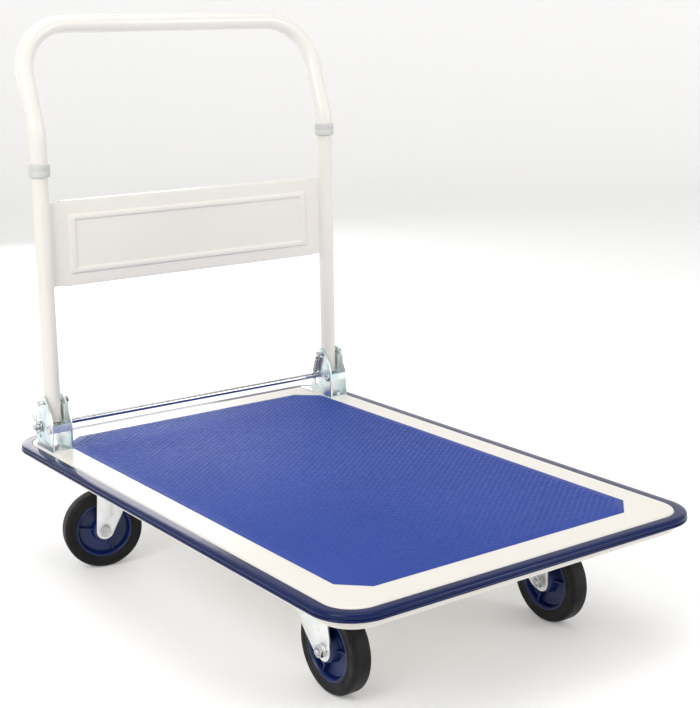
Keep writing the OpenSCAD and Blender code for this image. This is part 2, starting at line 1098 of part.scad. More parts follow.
module rear_right_axle_nut() {
    at_rear_wheel(1)
        axle_nut();
}

module rear_right_axle_sleeve() {
    at_rear_wheel(1)
        axle_sleeve();
}

module rear_right_tyre() {
    at_rear_wheel(1)
        tyre();
}

module rear_right_wheel_centre() {
    at_rear_wheel(1)
        wheel_centre();
}

deck_pan();
front_cross_channel();
rear_cross_channel();
deck_rails();
bracket_stiffeners();
deck_mat();
bumper();
hinge_bracket_left();
hinge_bracket_right();
bracket_bolts();
bracket_nuts();
hinge_pins();
spring_studs();
handle_tube();
grip_sleeve();
collar_left();
collar_right();
sign_panel();
hinge_shoe_left();
hinge_shoe_right();
shoe_rivets();
lock_rod();
lock_washers();
lock_split_pins();
lock_spring_left();
lock_spring_right();
caster_bolts();
caster_nuts();
front_left_fork();
front_right_fork();
front_axle_bolts();
front_axle_nuts();
front_axle_sleeves();
front_left_tyre();
front_left_wheel_centre();
front_right_tyre();
front_right_wheel_centre();
rear_left_top_plate();
rear_right_top_plate();
swivel_balls();
kingpins();
rear_left_fork();
rear_left_axle_bolt();
rear_left_axle_nut();
rear_left_axle_sleeve();
rear_left_tyre();
rear_left_wheel_centre();
rear_right_fork();
rear_right_axle_bolt();
rear_right_axle_nut();
rear_right_axle_sleeve();
rear_right_tyre();
rear_right_wheel_centre();
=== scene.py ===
"""Looks of the folding platform cart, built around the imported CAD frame.

Pieces take their places from the CAD nodes' boxes. Small section sizes that a box can't give are
named below in metres. The deck sheet, bumper, mat, handle, panel, fasteners, lock rod, springs and
wheels are rebuilt as fine meshes. Brackets, forks, shoes and the pins at the hinge get their CAD
shape again with softened edges. The other nodes, such as the channels and the rails, keep it plain.
"""

import json
import math

import bmesh
import bpy
import numpy as np
from mathutils import Matrix, Vector


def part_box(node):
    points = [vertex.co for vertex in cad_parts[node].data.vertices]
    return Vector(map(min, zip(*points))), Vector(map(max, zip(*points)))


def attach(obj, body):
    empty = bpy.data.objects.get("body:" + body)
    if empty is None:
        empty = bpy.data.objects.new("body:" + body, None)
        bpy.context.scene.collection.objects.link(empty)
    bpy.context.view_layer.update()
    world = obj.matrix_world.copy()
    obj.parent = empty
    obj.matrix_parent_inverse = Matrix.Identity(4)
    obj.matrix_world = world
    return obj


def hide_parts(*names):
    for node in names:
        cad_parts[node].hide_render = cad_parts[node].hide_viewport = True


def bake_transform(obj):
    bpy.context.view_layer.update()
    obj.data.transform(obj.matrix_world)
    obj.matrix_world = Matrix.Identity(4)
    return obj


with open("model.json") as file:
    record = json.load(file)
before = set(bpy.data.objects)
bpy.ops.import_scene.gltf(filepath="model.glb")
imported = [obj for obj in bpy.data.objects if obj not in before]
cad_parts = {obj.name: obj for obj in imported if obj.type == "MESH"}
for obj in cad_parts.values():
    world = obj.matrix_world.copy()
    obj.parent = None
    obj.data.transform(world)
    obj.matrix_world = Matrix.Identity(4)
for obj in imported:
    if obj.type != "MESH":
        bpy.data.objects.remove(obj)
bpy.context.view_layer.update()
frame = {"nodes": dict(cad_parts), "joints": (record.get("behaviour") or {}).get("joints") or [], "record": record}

MM = 0.001
X = Vector((1, 0, 0))
Y = Vector((0, 1, 0))
Z = Vector((0, 0, 1))

# ---- camera: the photograph's viewing angle ----

CAMERA_PLACE = (-1.180, -1.705, 0.850)
CAMERA_AZIMUTH = -35.49
CAMERA_ELEVATION = 11.71
CAMERA_ROLL = -0.92
CAMERA_LENS = 73.86
CAMERA_SHIFT = (0.0094, -0.0519)

# ---- sizes, in metres ----

LEAN = math.radians(19)
LEAN_RADIUS = 80 * MM
CORNER_RADIUS = 80 * MM
TUBE_RADIUS = 12.7 * MM
TUBE_WALL = 1.6 * MM
DECK_CORNER = 43 * MM
DECK_SHEET = 1.5 * MM
PANEL_SHEET = 1.2 * MM
SPLIT_PIN_BEND = math.radians(50)
FORK_HALF = 20 * MM
BORE_GAP = 0.05 * MM
M8_RADIUS = 4 * MM
M8_PITCH = 1.25 * MM
M8_FLATS = 13 * MM
M8_HEAD = 5.3 * MM
M10_RADIUS = 5 * MM
M10_PITCH = 1.5 * MM
M10_FLATS = 16 * MM
M10_HEAD = 6.4 * MM
M10_NUT = 8 * MM
M10_TAIL = 11 * MM
WHEEL_HALF = 14 * MM
WORLD_STRENGTH = 0.94


def low(node):
    """Lower corner of a CAD node's box."""
    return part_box(node)[0]


def high(node):
    """Upper corner of a CAD node's box."""
    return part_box(node)[1]


def middle(node):
    """Centre of a CAD node's box."""
    a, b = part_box(node)
    return (a + b) / 2


# ---- materials ----


def new_material(name):
    """A new material with its node tree and its shader."""
    material = bpy.data.materials.new(name)
    material.use_nodes = True
    tree = material.node_tree
    return material, tree, tree.nodes["Principled BSDF"]


def object_noise(tree, scale, detail=3.0, roughness=0.5, stretch=(1, 1, 1)):
    """Noise in the object's own metres, so that its grain has a real size."""
    place = tree.nodes.new("ShaderNodeTexCoord")
    mapping = tree.nodes.new("ShaderNodeMapping")
    mapping.inputs["Scale"].default_value = stretch
    tree.links.new(place.outputs["Object"], mapping.inputs["Vector"])
    texture = tree.nodes.new("ShaderNodeTexNoise")
    texture.inputs["Scale"].default_value = scale
    texture.inputs["Detail"].default_value = detail
    texture.inputs["Roughness"].default_value = roughness
    tree.links.new(mapping.outputs["Vector"], texture.inputs["Vector"])
    return texture.outputs["Fac"]


def ramp(tree, value, stops):
    """Colour ramp over value; stops are (position, (r, g, b))."""
    node = tree.nodes.new("ShaderNodeValToRGB")
    elements = node.color_ramp.elements
    while len(elements) < len(stops):
        elements.new(0.5)
    for element, (position, colour) in zip(elements, stops):
        element.position = position
        element.color = (*colour, 1)
    tree.links.new(value, node.inputs["Fac"])
    return node.outputs["Color"]


def spread(tree, value, lowest, highest):
    """Value from 0.3..0.7 of a noise stretched to lowest..highest."""
    node = tree.nodes.new("ShaderNodeMapRange")
    node.inputs["From Min"].default_value = 0.3
    node.inputs["From Max"].default_value = 0.7
    node.inputs["To Min"].default_value = lowest
    node.inputs["To Max"].default_value = highest
    tree.links.new(value, node.inputs["Value"])
    return node.outputs["Result"]


def add_bump(tree, shader, height, strength, distance, below=None):
    """Bump from height, laid over the bump below if one is given."""
    node = tree.nodes.new("ShaderNodeBump")
    node.inputs["Strength"].default_value = strength
    node.inputs["Distance"].default_value = distance
    tree.links.new(height, node.inputs["Height"])
    if below is not None:
        tree.links.new(below, node.inputs["Normal"])
    tree.links.new(node.outputs["Normal"], shader.inputs["Normal"])
    return node.outputs["Normal"]


def painted_steel():
    """Ivory powder coat: faint orange peel, slightly uneven gloss."""
    material, tree, shader = new_material("ivory_powder_coat")
    cloud = object_noise(tree, 9, 4)
    tint = ramp(tree, cloud, [(0.3, (0.755, 0.722, 0.665)), (0.7, (0.775, 0.745, 0.690))])
    tree.links.new(tint, shader.inputs["Base Color"])
    tree.links.new(spread(tree, object_noise(tree, 60, 3), 0.29, 0.33), shader.inputs["Roughness"])
    shader.inputs["Coat Weight"].default_value = 0.15
    shader.inputs["Coat Roughness"].default_value = 0.15
    add_bump(tree, shader, object_noise(tree, 420, 2), 0.05, 0.0003)
    return material


def gloss_vinyl(name, dark, light, roughness, peel, specular):
    """Smooth moulded vinyl with a slightly uneven gloss."""
    material, tree, shader = new_material(name)
    tint = ramp(tree, object_noise(tree, 14, 4), [(0.3, dark), (0.7, light)])
    tree.links.new(tint, shader.inputs["Base Color"])
    gloss = spread(tree, object_noise(tree, 90, 4), roughness - 0.03, roughness + 0.04)
    tree.links.new(gloss, shader.inputs["Roughness"])
    shader.inputs["Specular IOR Level"].default_value = specular
    add_bump(tree, shader, object_noise(tree, 260, 2), peel, 0.0005)
    return material


def mat_vinyl():
    """Blue embossed vinyl with a fine leathery grain between the raised dashes."""
    material, tree, shader = new_material("blue_mat_vinyl")
    broad = object_noise(tree, 5, 3)
    tint = ramp(tree, broad, [(0.3, (0.010, 0.044, 0.285)), (0.7, (0.015, 0.052, 0.320))])
    tree.links.new(tint, shader.inputs["Base Color"])
    tree.links.new(spread(tree, object_noise(tree, 140, 4), 0.42, 0.58), shader.inputs["Roughness"])
    shader.inputs["Specular IOR Level"].default_value = 0.30
    grain = add_bump(tree, shader, object_noise(tree, 900, 4, 0.6), 0.35, 0.0004)
    add_bump(tree, shader, object_noise(tree, 160, 3), 0.25, 0.0006, grain)
    return material


def plated_steel(name, shades, roughness, streaks=(1, 1, 1)):
    """Zinc or bright steel: cloudy tint and gloss, fine drawing lines."""
    material, tree, shader = new_material(name)
    cloud = object_noise(tree, 45, 5, 0.6)
    stops = [(0.32 + 0.36 * i / (len(shades) - 1), c) for i, c in enumerate(shades)]
    tree.links.new(ramp(tree, cloud, stops), shader.inputs["Base Color"])
    shader.inputs["Metallic"].default_value = 1.0
    gloss = spread(tree, object_noise(tree, 110, 4, 0.6), roughness - 0.08, roughness + 0.10)
    tree.links.new(gloss, shader.inputs["Roughness"])
    fine = add_bump(tree, shader, object_noise(tree, 700, 3, 0.5, streaks), 0.12, 0.0003)
    add_bump(tree, shader, object_noise(tree, 55, 2), 0.10, 0.0010, fine)
    return material


def tyre_rubber():
    """Black rubber with a fine grain and a little dust."""
    material, tree, shader = new_material("black_tyre_rubber")
    dust = object_noise(tree, 28, 5, 0.6)
    tint = ramp(tree, dust, [(0.35, (0.004, 0.004, 0.005)), (0.72, (0.009, 0.008, 0.008))])
    tree.links.new(tint, shader.inputs["Base Color"])
    tree.links.new(spread(tree, object_noise(tree, 70, 4), 0.38, 0.62), shader.inputs["Roughness"])
    shader.inputs["Specular IOR Level"].default_value = 0.22
    grain = add_bump(tree, shader, object_noise(tree, 1300, 3), 0.25, 0.0003)
    add_bump(tree, shader, object_noise(tree, 120, 3), 0.15, 0.0006, grain)
    return material


def satin_plastic(name, dark, light, roughness):
    """Moulded plastic with a faint texture."""
    material, tree, shader = new_material(name)
    tint = ramp(tree, object_noise(tree, 40, 4), [(0.3, dark), (0.7, light)])
    tree.links.new(tint, shader.inputs["Base Color"])
    gloss = spread(tree, object_noise(tree, 80, 3), roughness - 0.06, roughness + 0.08)
    tree.links.new(gloss, shader.inputs["Roughness"])
    add_bump(tree, shader, object_noise(tree, 600, 3), 0.12, 0.0004)
    return material


FINISHES = {
    "ivory_paint": painted_steel(),
    "blue_vinyl": mat_vinyl(),
    "navy_vinyl": gloss_vinyl(
        "navy_bumper_vinyl", (0.002, 0.009, 0.064), (0.003, 0.012, 0.082), 0.15, 0.03, 0.2
    ),
    "grip_vinyl": gloss_vinyl(
        "white_grip_vinyl", (0.74, 0.72, 0.675), (0.77, 0.75, 0.71), 0.2, 0.05, 0.5
    ),
    "grey_plastic": satin_plastic(
        "grey_collar_plastic", (0.52, 0.52, 0.51), (0.58, 0.58, 0.56), 0.42
    ),
    "zinc_plate": plated_steel(
        "passivated_zinc", [(0.55, 0.72, 0.77), (0.82, 0.90, 0.91), (0.93, 0.93, 0.90)], 0.34
    ),
    "bright_zinc": plated_steel(
        "bright_zinc_plate", [(0.80, 0.83, 0.83), (0.92, 0.93, 0.92)], 0.42
    ),
    "bright_steel": plated_steel(
        "bright_drawn_steel", [(0.46, 0.47, 0.50), (0.66, 0.66, 0.67)], 0.17, (0.15, 1, 1)
    ),
    "spring_steel": plated_steel(
        "bright_spring_wire", [(0.40, 0.41, 0.43), (0.58, 0.58, 0.58)], 0.24
    ),
    "tyre_rubber": tyre_rubber(),
    "wheel_plastic": satin_plastic(
        "dark_blue_wheel_plastic", (0.0006, 0.009, 0.066), (0.001, 0.014, 0.098), 0.34
    ),
}
SLOT_OF = {s["node"]: s["material_slot"] for s in frame["record"]["subparts"]}
BODY_OF = {n: b for b, ns in frame["record"]["behaviour"]["bodies"].items() for n in ns}

# ---- mesh tools ----


def soften(mesh, angle=math.radians(35)):
    """Smooth shading with hard edges where faces meet at more than angle."""
    bm = bmesh.new()
    bm.from_mesh(mesh)
    bmesh.ops.recalc_face_normals(bm, faces=bm.faces)
    for face in bm.faces:
        face.smooth = True
    for edge in bm.edges:
        edge.smooth = len(edge.link_faces) == 2 and edge.calc_face_angle() < angle
    bm.to_mesh(mesh)
    bm.free()


def add_piece(name, bm, nodes, angle=35, stretch=None):
    """Makes bm a piece that stands for the CAD nodes, with their body, slot and finish.

    stretch is given as (body, start, end) for a piece that runs from one body to another. It only keeps the piece
    out of the bodies, baked where it stands, and its values are not read.
    """
    mesh = bpy.data.meshes.new(name)
    bmesh.ops.remove_doubles(bm, verts=bm.verts, dist=1e-7)
    bm.to_mesh(mesh)
    bm.free()
    soften(mesh, math.radians(angle))
    piece = bpy.data.objects.new(name, mesh)
    bpy.context.scene.collection.objects.link(piece)
    slot = SLOT_OF[nodes[0]]
    mesh.materials.append(FINISHES[slot])
    if stretch:
        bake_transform(piece)
    else:
        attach(piece, BODY_OF[nodes[0]])
    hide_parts(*nodes)
    return piece


def join_rings(bm, a, b):
    """Faces all the way round between two rings of vertices."""
    for i in range(len(a)):
        j = (i + 1) % len(a)
        bm.faces.new((a[i], a[j], b[j], b[i]))


def skin(bm, rings, closed=False, round_ring=True, caps=True):
    """Joins rings of points into a surface, with flat caps on an open one."""
    rows = [[bm.verts.new(p) for p in ring] for ring in rings]
    count = len(rows[0])
    around = count if round_ring else count - 1
    pairs = list(zip(rows, rows[1:] + rows[:1])) if closed else list(zip(rows, rows[1:]))
    for a, b in pairs:
        for i in range(around):
            j = (i + 1) % count
            bm.faces.new((a[i], a[j], b[j], b[i]))
    if caps and not closed and round_ring:
        bm.faces.new(rows[0])
        bm.faces.new(rows[-1])
    return rows


def circle_points(centre, normal, radius, count, start):
    """Ring of points about normal, the first one towards start."""
    side = (start - normal * start.dot(normal)).normalized()
    other = normal.cross(side)
    turns = [2 * math.pi * i / count for i in range(count)]
    return [centre + radius * (math.cos(t) * side + math.sin(t) * other) for t in turns]


def pipe(bm, path, radius, count):
    """Round bar of constant radius along path, a list of points, with count sides."""
    rings = []
    start = X
    for i, point in enumerate(path):
        tangent = path[min(i + 1, len(path) - 1)] - path[max(i - 1, 0)]
        tangent.normalize()
        start = (start - tangent * start.dot(tangent)).normalized()
        rings.append(circle_points(point, tangent, radius, count, start))
    return skin(bm, rings)


def lathe(bm, profile, centre, axis, count=96, start=None):
    """Turns a closed profile of (radius, height along axis) about axis."""
    side = (start if start is not None else axis.orthogonal()).normalized()
    other = axis.cross(side)
    rings = []
    for i in range(count):
        t = 2 * math.pi * i / count
        out = math.cos(t) * side + math.sin(t) * other
        rings.append([centre + out * r + axis * h for r, h in profile])
    skin(bm, rings, closed=True)


def arc(cx, cy, radius, first, last, steps):
    """Points on an arc, with angles in degrees."""
    angles = [math.radians(first + (last - first) * i / steps) for i in range(steps + 1)]
    return [(cx + radius * math.cos(a), cy + radius * math.sin(a)) for a in angles]


def refined(node, bevel):
    """The CAD node's own shape again, with its sharp edges rounded by bevel."""
    sharp_angle = math.radians(28)
    bm = bmesh.new()
    bm.from_mesh(frame["nodes"][node].data)
    bmesh.ops.remove_doubles(bm, verts=bm.verts, dist=2e-6)
    bmesh.ops.dissolve_limit(
        bm, angle_limit=math.radians(0.5), verts=bm.verts, edges=bm.edges
    )
    sharp = [
        e for e in bm.edges if len(e.link_faces) == 2 and e.calc_face_angle() > sharp_angle
    ]
    bmesh.ops.bevel(
        bm, geom=sharp, offset=bevel, segments=2, profile=0.5, affect="EDGES",
        clamp_overlap=True,
    )
    bmesh.ops.triangulate(bm, faces=[f for f in bm.faces if len(f.verts) > 4])
    return add_piece(node + "_softened", bm, [node])


# ---- deck ----


def rounded_plan(half_x, half_y, radius):
    """(corner's centre, outward direction) pairs round a rectangle with round corners."""
    steps = 14
    points = []
    for corner, (sx, sy) in enumerate(((1, 1), (-1, 1), (-1, -1), (1, -1))):
        for i in range(steps + 1):
            a = math.radians(90 * corner + 90 * i / steps)
            out = Vector((math.cos(a), math.sin(a), 0))
            base = Vector((sx * (half_x - radius), sy * (half_y - radius), 0))
            points.append((base, out))
    return points


def sweep_round(bm, half_x, half_y, radius, profile, closed=True):
    """Sweeps (distance outward from half, height) round the deck's plan."""
    rings = []
    for base, out in rounded_plan(half_x, half_y, radius):
        rings.append([base + out * (radius + d) + Z * h for d, h in profile])
    return skin(bm, rings, closed=True, round_ring=closed)


def build_deck_pan():
    """Pressed sheet: flat top, rounded edge, skirt and a small lip turned in."""
    b = high("deck_pan")
    t = DECK_SHEET
    top = b.z
    bottom = low("deck_pan").z
    r = 5 * MM
    inner = r - t
    lip = 4 * MM
    outside = [(-r - 0.4 * MM, top)] + arc(-r, top - r, r, 90, 0, 10)
    outside += arc(-1.2 * MM, bottom + 1.2 * MM, 1.2 * MM, 0, -90, 5) + [(-lip, bottom)]
    inside = [(-lip, bottom + t), (-t - 0.2 * MM, bottom + t)]
    inside += arc(-r, top - r, inner, 0, 90, 8) + [(-r - 0.4 * MM, top - t)]
    bm = bmesh.new()
    rows = sweep_round(bm, b.x, b.y, DECK_CORNER, outside + inside, closed=False)
    bm.faces.new([row[0] for row in rows])
    bm.faces.new([row[-1] for row in reversed(rows)])
    return add_piece("deck_sheet", bm, ["deck_pan"], 30)


def build_bumper():
    """Moulded edge strip: a round upper lobe, a thin groove and a small lower lobe."""
    b = high("bumper")
    z0 = low("bumper").z
    skirt = high("deck_pan").x
    depth = b.x - skirt
    height = b.z - z0
    small = 0.20 * height
    large = 0.38 * height
    profile = [(-0.05 * MM, z0 + 0.2 * MM), (depth - small * 1.4, z0)]
    profile += arc(depth - small, z0 + small, small, -70, 58, 9)
    profile += [(depth - small * 1.5, z0 + 0.39 * height)]
    profile += arc(depth - 0.5 * MM - large, b.z - large, large, -48, 62, 12)
    crest = b.z - 0.02 * MM
    profile += [(depth * 0.50, b.z - 0.25 * MM), (depth * 0.25, crest), (-0.05 * MM, crest)]
    bm = bmesh.new()
    sweep_round(bm, skirt, b.y - depth, DECK_CORNER, profile)
    return add_piece("bumper_strip", bm, ["bumper"], 50)


def build_mat():
    """Vinyl mat with cut corners, pressed with staggered rows of raised dashes."""
    a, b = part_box("deck_mat")
    cut = 34.5 * MM
    base = a.z
    rise = 0.45 * MM
    top = b.z - rise
    pitch_x, pitch_y = 13.0 * MM, 5.2 * MM
    dash_x, dash_y = 9.0 * MM, 2.2 * MM
    slope = 0.6 * MM
    edge = 7 * MM

    def inside(x, y, margin):
        """True if a point is at least margin within the mat's outline."""
        reach = (b.x - margin - abs(x)) + (b.y - margin - abs(y))
        return abs(x) < b.x - margin and abs(y) < b.y - margin and reach > cut

    def dash_ring(x, y, inset, z):
        """The four corners of a dash at one height."""
        return [
            bm.verts.new((x + sx * (dash_x / 2 - inset), y + sy * (dash_y / 2 - inset), z))
            for sx, sy in ((-1, -1), (1, -1), (1, 1), (-1, 1))
        ]

    bm = bmesh.new()
    outline = []
    for sx, sy in ((1, 1), (-1, 1), (-1, -1), (1, -1)):
        corner = [(sx * b.x, sy * (b.y - cut)), (sx * (b.x - cut), sy * b.y)]
        outline += corner if sx == sy else reversed(corner)
    bottom = [bm.verts.new((x, y, base)) for x, y in outline]
    side = [bm.verts.new((x, y, top - 0.25 * MM)) for x, y in outline]
    shrink = 1 - 0.35 * MM / b.x
    crest = [bm.verts.new((x * shrink, y * shrink, top)) for x, y in outline]
    join_rings(bm, bottom, side)
    join_rings(bm, side, crest)
    bm.faces.new(crest)
    bm.faces.new(list(reversed(bottom)))
    rows = int((b.y - a.y) / pitch_y)
    columns = int((b.x - a.x) / pitch_x) + 1
    for row in range(rows):
        y = a.y + (row + 0.5) * pitch_y
        shift = 0.5 * pitch_x * (row % 2)
        for column in range(columns):
            x = a.x + column * pitch_x + shift
            if not inside(x, y, edge):
                continue
            foot = dash_ring(x, y, 0, top - 0.02 * MM)
            crown = dash_ring(x, y, slope, top + rise)
            join_rings(bm, foot, crown)
            bm.faces.new(crown)
    return add_piece("deck_mat_embossed", bm, ["deck_mat"], 25)


# ---- handle ----


def handle_path(left_low, right_low):
    """Centre line of the bent tube, from the left foot over the bar to the right foot."""
    tube_x = middle("collar_right").x
    tube_y = middle("collar_right").y
    bar_z = high("handle_tube").z - TUBE_RADIUS
    bar_y = high("handle_tube").y - TUBE_RADIUS
    tilt = Vector((0, math.sin(LEAN), math.cos(LEAN)))
    rise = LEAN_RADIUS * math.sin(LEAN)
    back = LEAN_RADIUS * (1 - math.cos(LEAN))
    length = (bar_y - tube_y - back) / math.sin(LEAN)
    bend_z = bar_z - length * math.cos(LEAN) - rise

    def side(s, foot):
        """One side of the tube, from its foot to the middle of the bar."""
        points = [Vector((s * tube_x, tube_y, foot + (bend_z - foot) * i / 6)) for i in range(7)]
        for i in range(1, 9):
            a = LEAN * i / 8
            points.append(
                Vector((
                    s * tube_x,
                    tube_y + LEAN_RADIUS * (1 - math.cos(a)),
                    bend_z + LEAN_RADIUS * math.sin(a),
                ))
            )
        start = points[-1]
        up = length - CORNER_RADIUS
        points += [start + tilt * up * i / 3 for i in (1, 2, 3)]
        hub = points[-1] - X * s * CORNER_RADIUS
        for i in range(1, 25):
            a = math.radians(90 * i / 24)
            points.append(hub + CORNER_RADIUS * (s * math.cos(a) * X + math.sin(a) * tilt))
        return points

    return side(-1, left_low) + list(reversed(side(1, right_low)))


def build_handle():
    """The bent tube, open at both feet."""
    foot = low("handle_tube").z
    path = handle_path(foot, foot)
    depth = 40 * MM
    bm = bmesh.new()
    outer = pipe(bm, path, TUBE_RADIUS - 0.02 * MM, 48)
    inner = TUBE_RADIUS - TUBE_WALL
    for ring, end in ((outer[0], path[0]), (outer[-1], path[-1])):
        cap = [f for f in ring[0].link_faces if len(f.verts) == len(ring)]
        bmesh.ops.delete(bm, geom=cap, context="FACES_ONLY")
        rim = [bm.verts.new(end + (v.co - end).normalized() * inner) for v in ring]
        deep = [bm.verts.new(v.co + Z * depth) for v in rim]
        join_rings(bm, ring, rim)
        join_rings(bm, rim, deep)
        bm.faces.new(deep)
    return add_piece("handle_bent_tube", bm, ["handle_tube"])


def build_grip():
    """Sleeve over the top of the tube, as a bar that goes round it."""
    path = handle_path(low("grip_sleeve").z, middle("collar_right").z - 4 * MM)
    bm = bmesh.new()
    pipe(bm, path, TUBE_RADIUS + 1.1 * MM, 48)
    return add_piece("handle_grip_sleeve", bm, ["grip_sleeve"])


def build_collar(node):
    """Plastic ring with soft edges and a groove round its waist."""
    a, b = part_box(node)
    centre = middle(node)
    outer = (b.x - a.x) / 2
    half = (b.z - a.z) / 2
    inner = TUBE_RADIUS + 1.15 * MM
    r = 1.6 * MM
    waist = 0.35 * MM
    profile = [(inner, -half + 0.4 * MM), (inner + 0.6 * MM, -half)]
    profile += arc(outer - r, -half + r, r, -90, 0, 6)
    profile += [(outer, -1.2 * MM), (outer - waist, -0.6 * MM)]
    profile += [(outer - waist, 0.6 * MM), (outer, 1.2 * MM)]
    profile += arc(outer - r, half - r, r, 0, 90, 6)
    profile += [(inner + 0.6 * MM, half), (inner, half - 0.4 * MM)]
    bm = bmesh.new()
    lathe(bm, profile, centre, Z, 80, X)
    return add_piece(node + "_ring", bm, [node])


# ---- sign panel ----


def build_panel():
    """Pressed sheet with a raised double frame, folded edges and ends curled on the tubes."""
    a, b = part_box("sign_panel")
    tube_x = middle("collar_right").x
    tube_y = middle("collar_right").y
    t = PANEL_SHEET
    z0, z1 = a.z, b.z
    wall = TUBE_RADIUS + t / 2 + 0.08 * MM
    flat_x = tube_x - wall - 2.2 * MM
    press = 2.0 * MM
    ring_out = (224 * MM, z0 + 18 * MM, z0 + 113 * MM)
    ring_in = (210 * MM, z0 + 29 * MM, z0 + 102 * MM)
    ramp_w = 3.2 * MM
    hem = 8 * MM - t / 2
    lip = 7 * MM
    bend = 1.6 * MM
    curl_from, curl_to = 192, 285

    def smooth(v):
        """Soft step from 0 to 1."""
        v = min(max(v, 0), 1)
        return v * v * (3 - 2 * v)

    def frame_height(x, z):
        """How far the frame is pressed out at a point of the panel."""
        out = min(ring_out[0] - abs(x), z - ring_out[1], ring_out[2] - z)
        inn = min(ring_in[0] - abs(x), z - ring_in[1], ring_in[2] - z)
        return press * smooth(out / ramp_w) * (1 - smooth(inn / ramp_w + 1))

    def lines(edges, limits, coarse):
        """Even lines between limits with close ones at each frame edge."""
        marks = set(limits)
        for e in edges:
            marks |= {e + ramp_w * k / 5 for k in range(-5, 6)}
        steps = int((limits[1] - limits[0]) / coarse)
        even = [limits[0] + (limits[1] - limits[0]) * i / steps for i in range(steps + 1)]
        marks |= {v for v in even if min(abs(v - m) for m in marks) > coarse * 0.25}
        return sorted(m for m in marks if limits[0] <= m <= limits[1])

    xs = lines(
        [s * e for s in (-1, 1) for e in (ring_out[0], ring_in[0])], (-flat_x, flat_x), 16 * MM
    )
    zs = lines([*ring_out[1:], *ring_in[1:]], (z0 + bend, z1 - bend), 8 * MM)
    plane = tube_y - t / 2

    def curl(s):
        """Mid-line of one curled end, from the flat to the sheet's end."""
        first = math.radians(curl_from)
        begin = Vector((-wall - 2.2 * MM, -t / 2))
        knee = Vector((-wall + 0.05 * MM, -t / 2))
        land = Vector((wall * math.cos(first), wall * math.sin(first)))
        points = []
        for i in range(1, 7):
            u = i / 6
            points.append(begin.lerp(knee, u).lerp(knee.lerp(land, u), u))
        for i in range(1, 19):
            angle = first + math.radians(curl_to - curl_from) * i / 18
            points.append(Vector((wall * math.cos(angle), wall * math.sin(angle))))
        return [Vector((s * (tube_x + p.x), tube_y + p.y, 0)) for p in points]

    bm = bmesh.new()
    columns = [[Vector((x, plane - frame_height(x, z), z)) for z in zs] for x in xs]
    fold_x = [x for x in xs if abs(x) < flat_x - 4 * MM]
    for s in (-1, 1):
        sheet = [[Vector((p.x, p.y, z)) for z in zs] for p in curl(s)]
        columns = columns + sheet if s > 0 else list(reversed(sheet)) + columns
    skin(bm, columns, round_ring=False)
    for edge, way in ((z0 + bend, -1), (z1 - bend, 1)):
        limit = z0 + t / 2 if way < 0 else z1 - t / 2
        reach = abs(limit - edge)
        section = []
        for i in range(7):
            angle = math.radians(90 * i / 6)
            section.append((
                plane + reach * (1 - math.cos(angle)),
                edge + way * reach * math.sin(angle),
            ))
        section.append((tube_y + hem - bend, limit))
        for i in range(1, 7):
            angle = math.radians(90 * i / 6)
            section.append((
                tube_y + hem - bend + bend * math.sin(angle),
                limit - way * bend * (1 - math.cos(angle)),
            ))
        section.append((tube_y + hem, limit - way * lip))
        rings = [[Vector((x, y, z)) for y, z in section] for x in fold_x]
        skin(bm, rings, round_ring=False)
    piece = add_piece("sign_panel_pressed", bm, ["sign_panel"], 40)
    thick = piece.modifiers.new("sheet", "SOLIDIFY")
    thick.thickness = t
    thick.offset = 0
    thick.use_even_offset = True
    return piece


# ---- fasteners ----


def hex_body(bm, centre, axis, across, height, under=True, bore=None, start=None):
    """Hexagon prism chamfered by a cone on top and perhaps under, with a bore in a nut."""
    side = (start if start is not None else axis.orthogonal()).normalized()
    other = axis.cross(side)
    count = 72
    third = math.pi / 3
    flat_r = across / 2 * 0.97
    slope = math.tan(math.radians(28))
    edge = 0.35 * MM
    outline = []
    for i in range(count):
        turn = 2 * math.pi * i / count
        from_corner = abs((turn + third / 2) % third - third / 2)
        outline.append((turn, across / 2 / math.cos(third / 2 - from_corner)))

    def ring(level, radius=None):
        """Ring at a level, which may depend on the radius, on the hexagon if radius is None."""
        points = []
        for turn, hexagon_r in outline:
            out = math.cos(turn) * side + math.sin(turn) * other
            rise = level(hexagon_r) if callable(level) else level
            points.append(centre + out * (radius or hexagon_r) + axis * rise)
        return points

    rings = []
    if bore:
        rings += [ring(height * 0.5, bore), ring(edge, bore), ring(0, bore + edge)]
    if under:
        rings += [ring(0, flat_r), ring(lambda r: (r - flat_r) * slope)]
    else:
        rings.append(ring(0))
    rings += [ring(lambda r: height - (r - flat_r) * slope), ring(height, flat_r)]
    if bore:
        rings += [ring(height, bore + edge), ring(height - edge, bore), ring(height * 0.5, bore)]
        skin(bm, rings, caps=False)
    else:
        rings += [ring(height, flat_r * 0.93), ring(height - 0.18 * MM, flat_r * 0.86)]
        skin(bm, rings)


def threaded(bm, start, axis, radius, pitch, length):
    """Bolt shank with thread crests and a chamfered tip at its far end."""
    root = radius - 0.55 * pitch
    count = int((length - 1.2 * MM) / pitch)
    profile = [(0.02 * MM, 0), (root, 0)]
    for i in range(count):
        profile.append((root, (i + 0.1) * pitch))
        profile.append((radius, (i + 0.45) * pitch))
        profile.append((radius, (i + 0.6) * pitch))
    profile += [(root, length - 1.0 * MM), (root - 0.8 * MM, length), (0.02 * MM, length)]
    lathe(bm, profile, start, axis, 32)


def shank(bm, start, axis, radius, length):
    """Plain round length of a bolt with a chamfered far end."""
    chamfer = 0.5 * MM
    profile = [(0.02 * MM, 0), (radius, 0), (radius, length - chamfer)]
    profile += [(radius - chamfer, length), (0.02 * MM, length)]
    lathe(bm, profile, start, axis, 32)


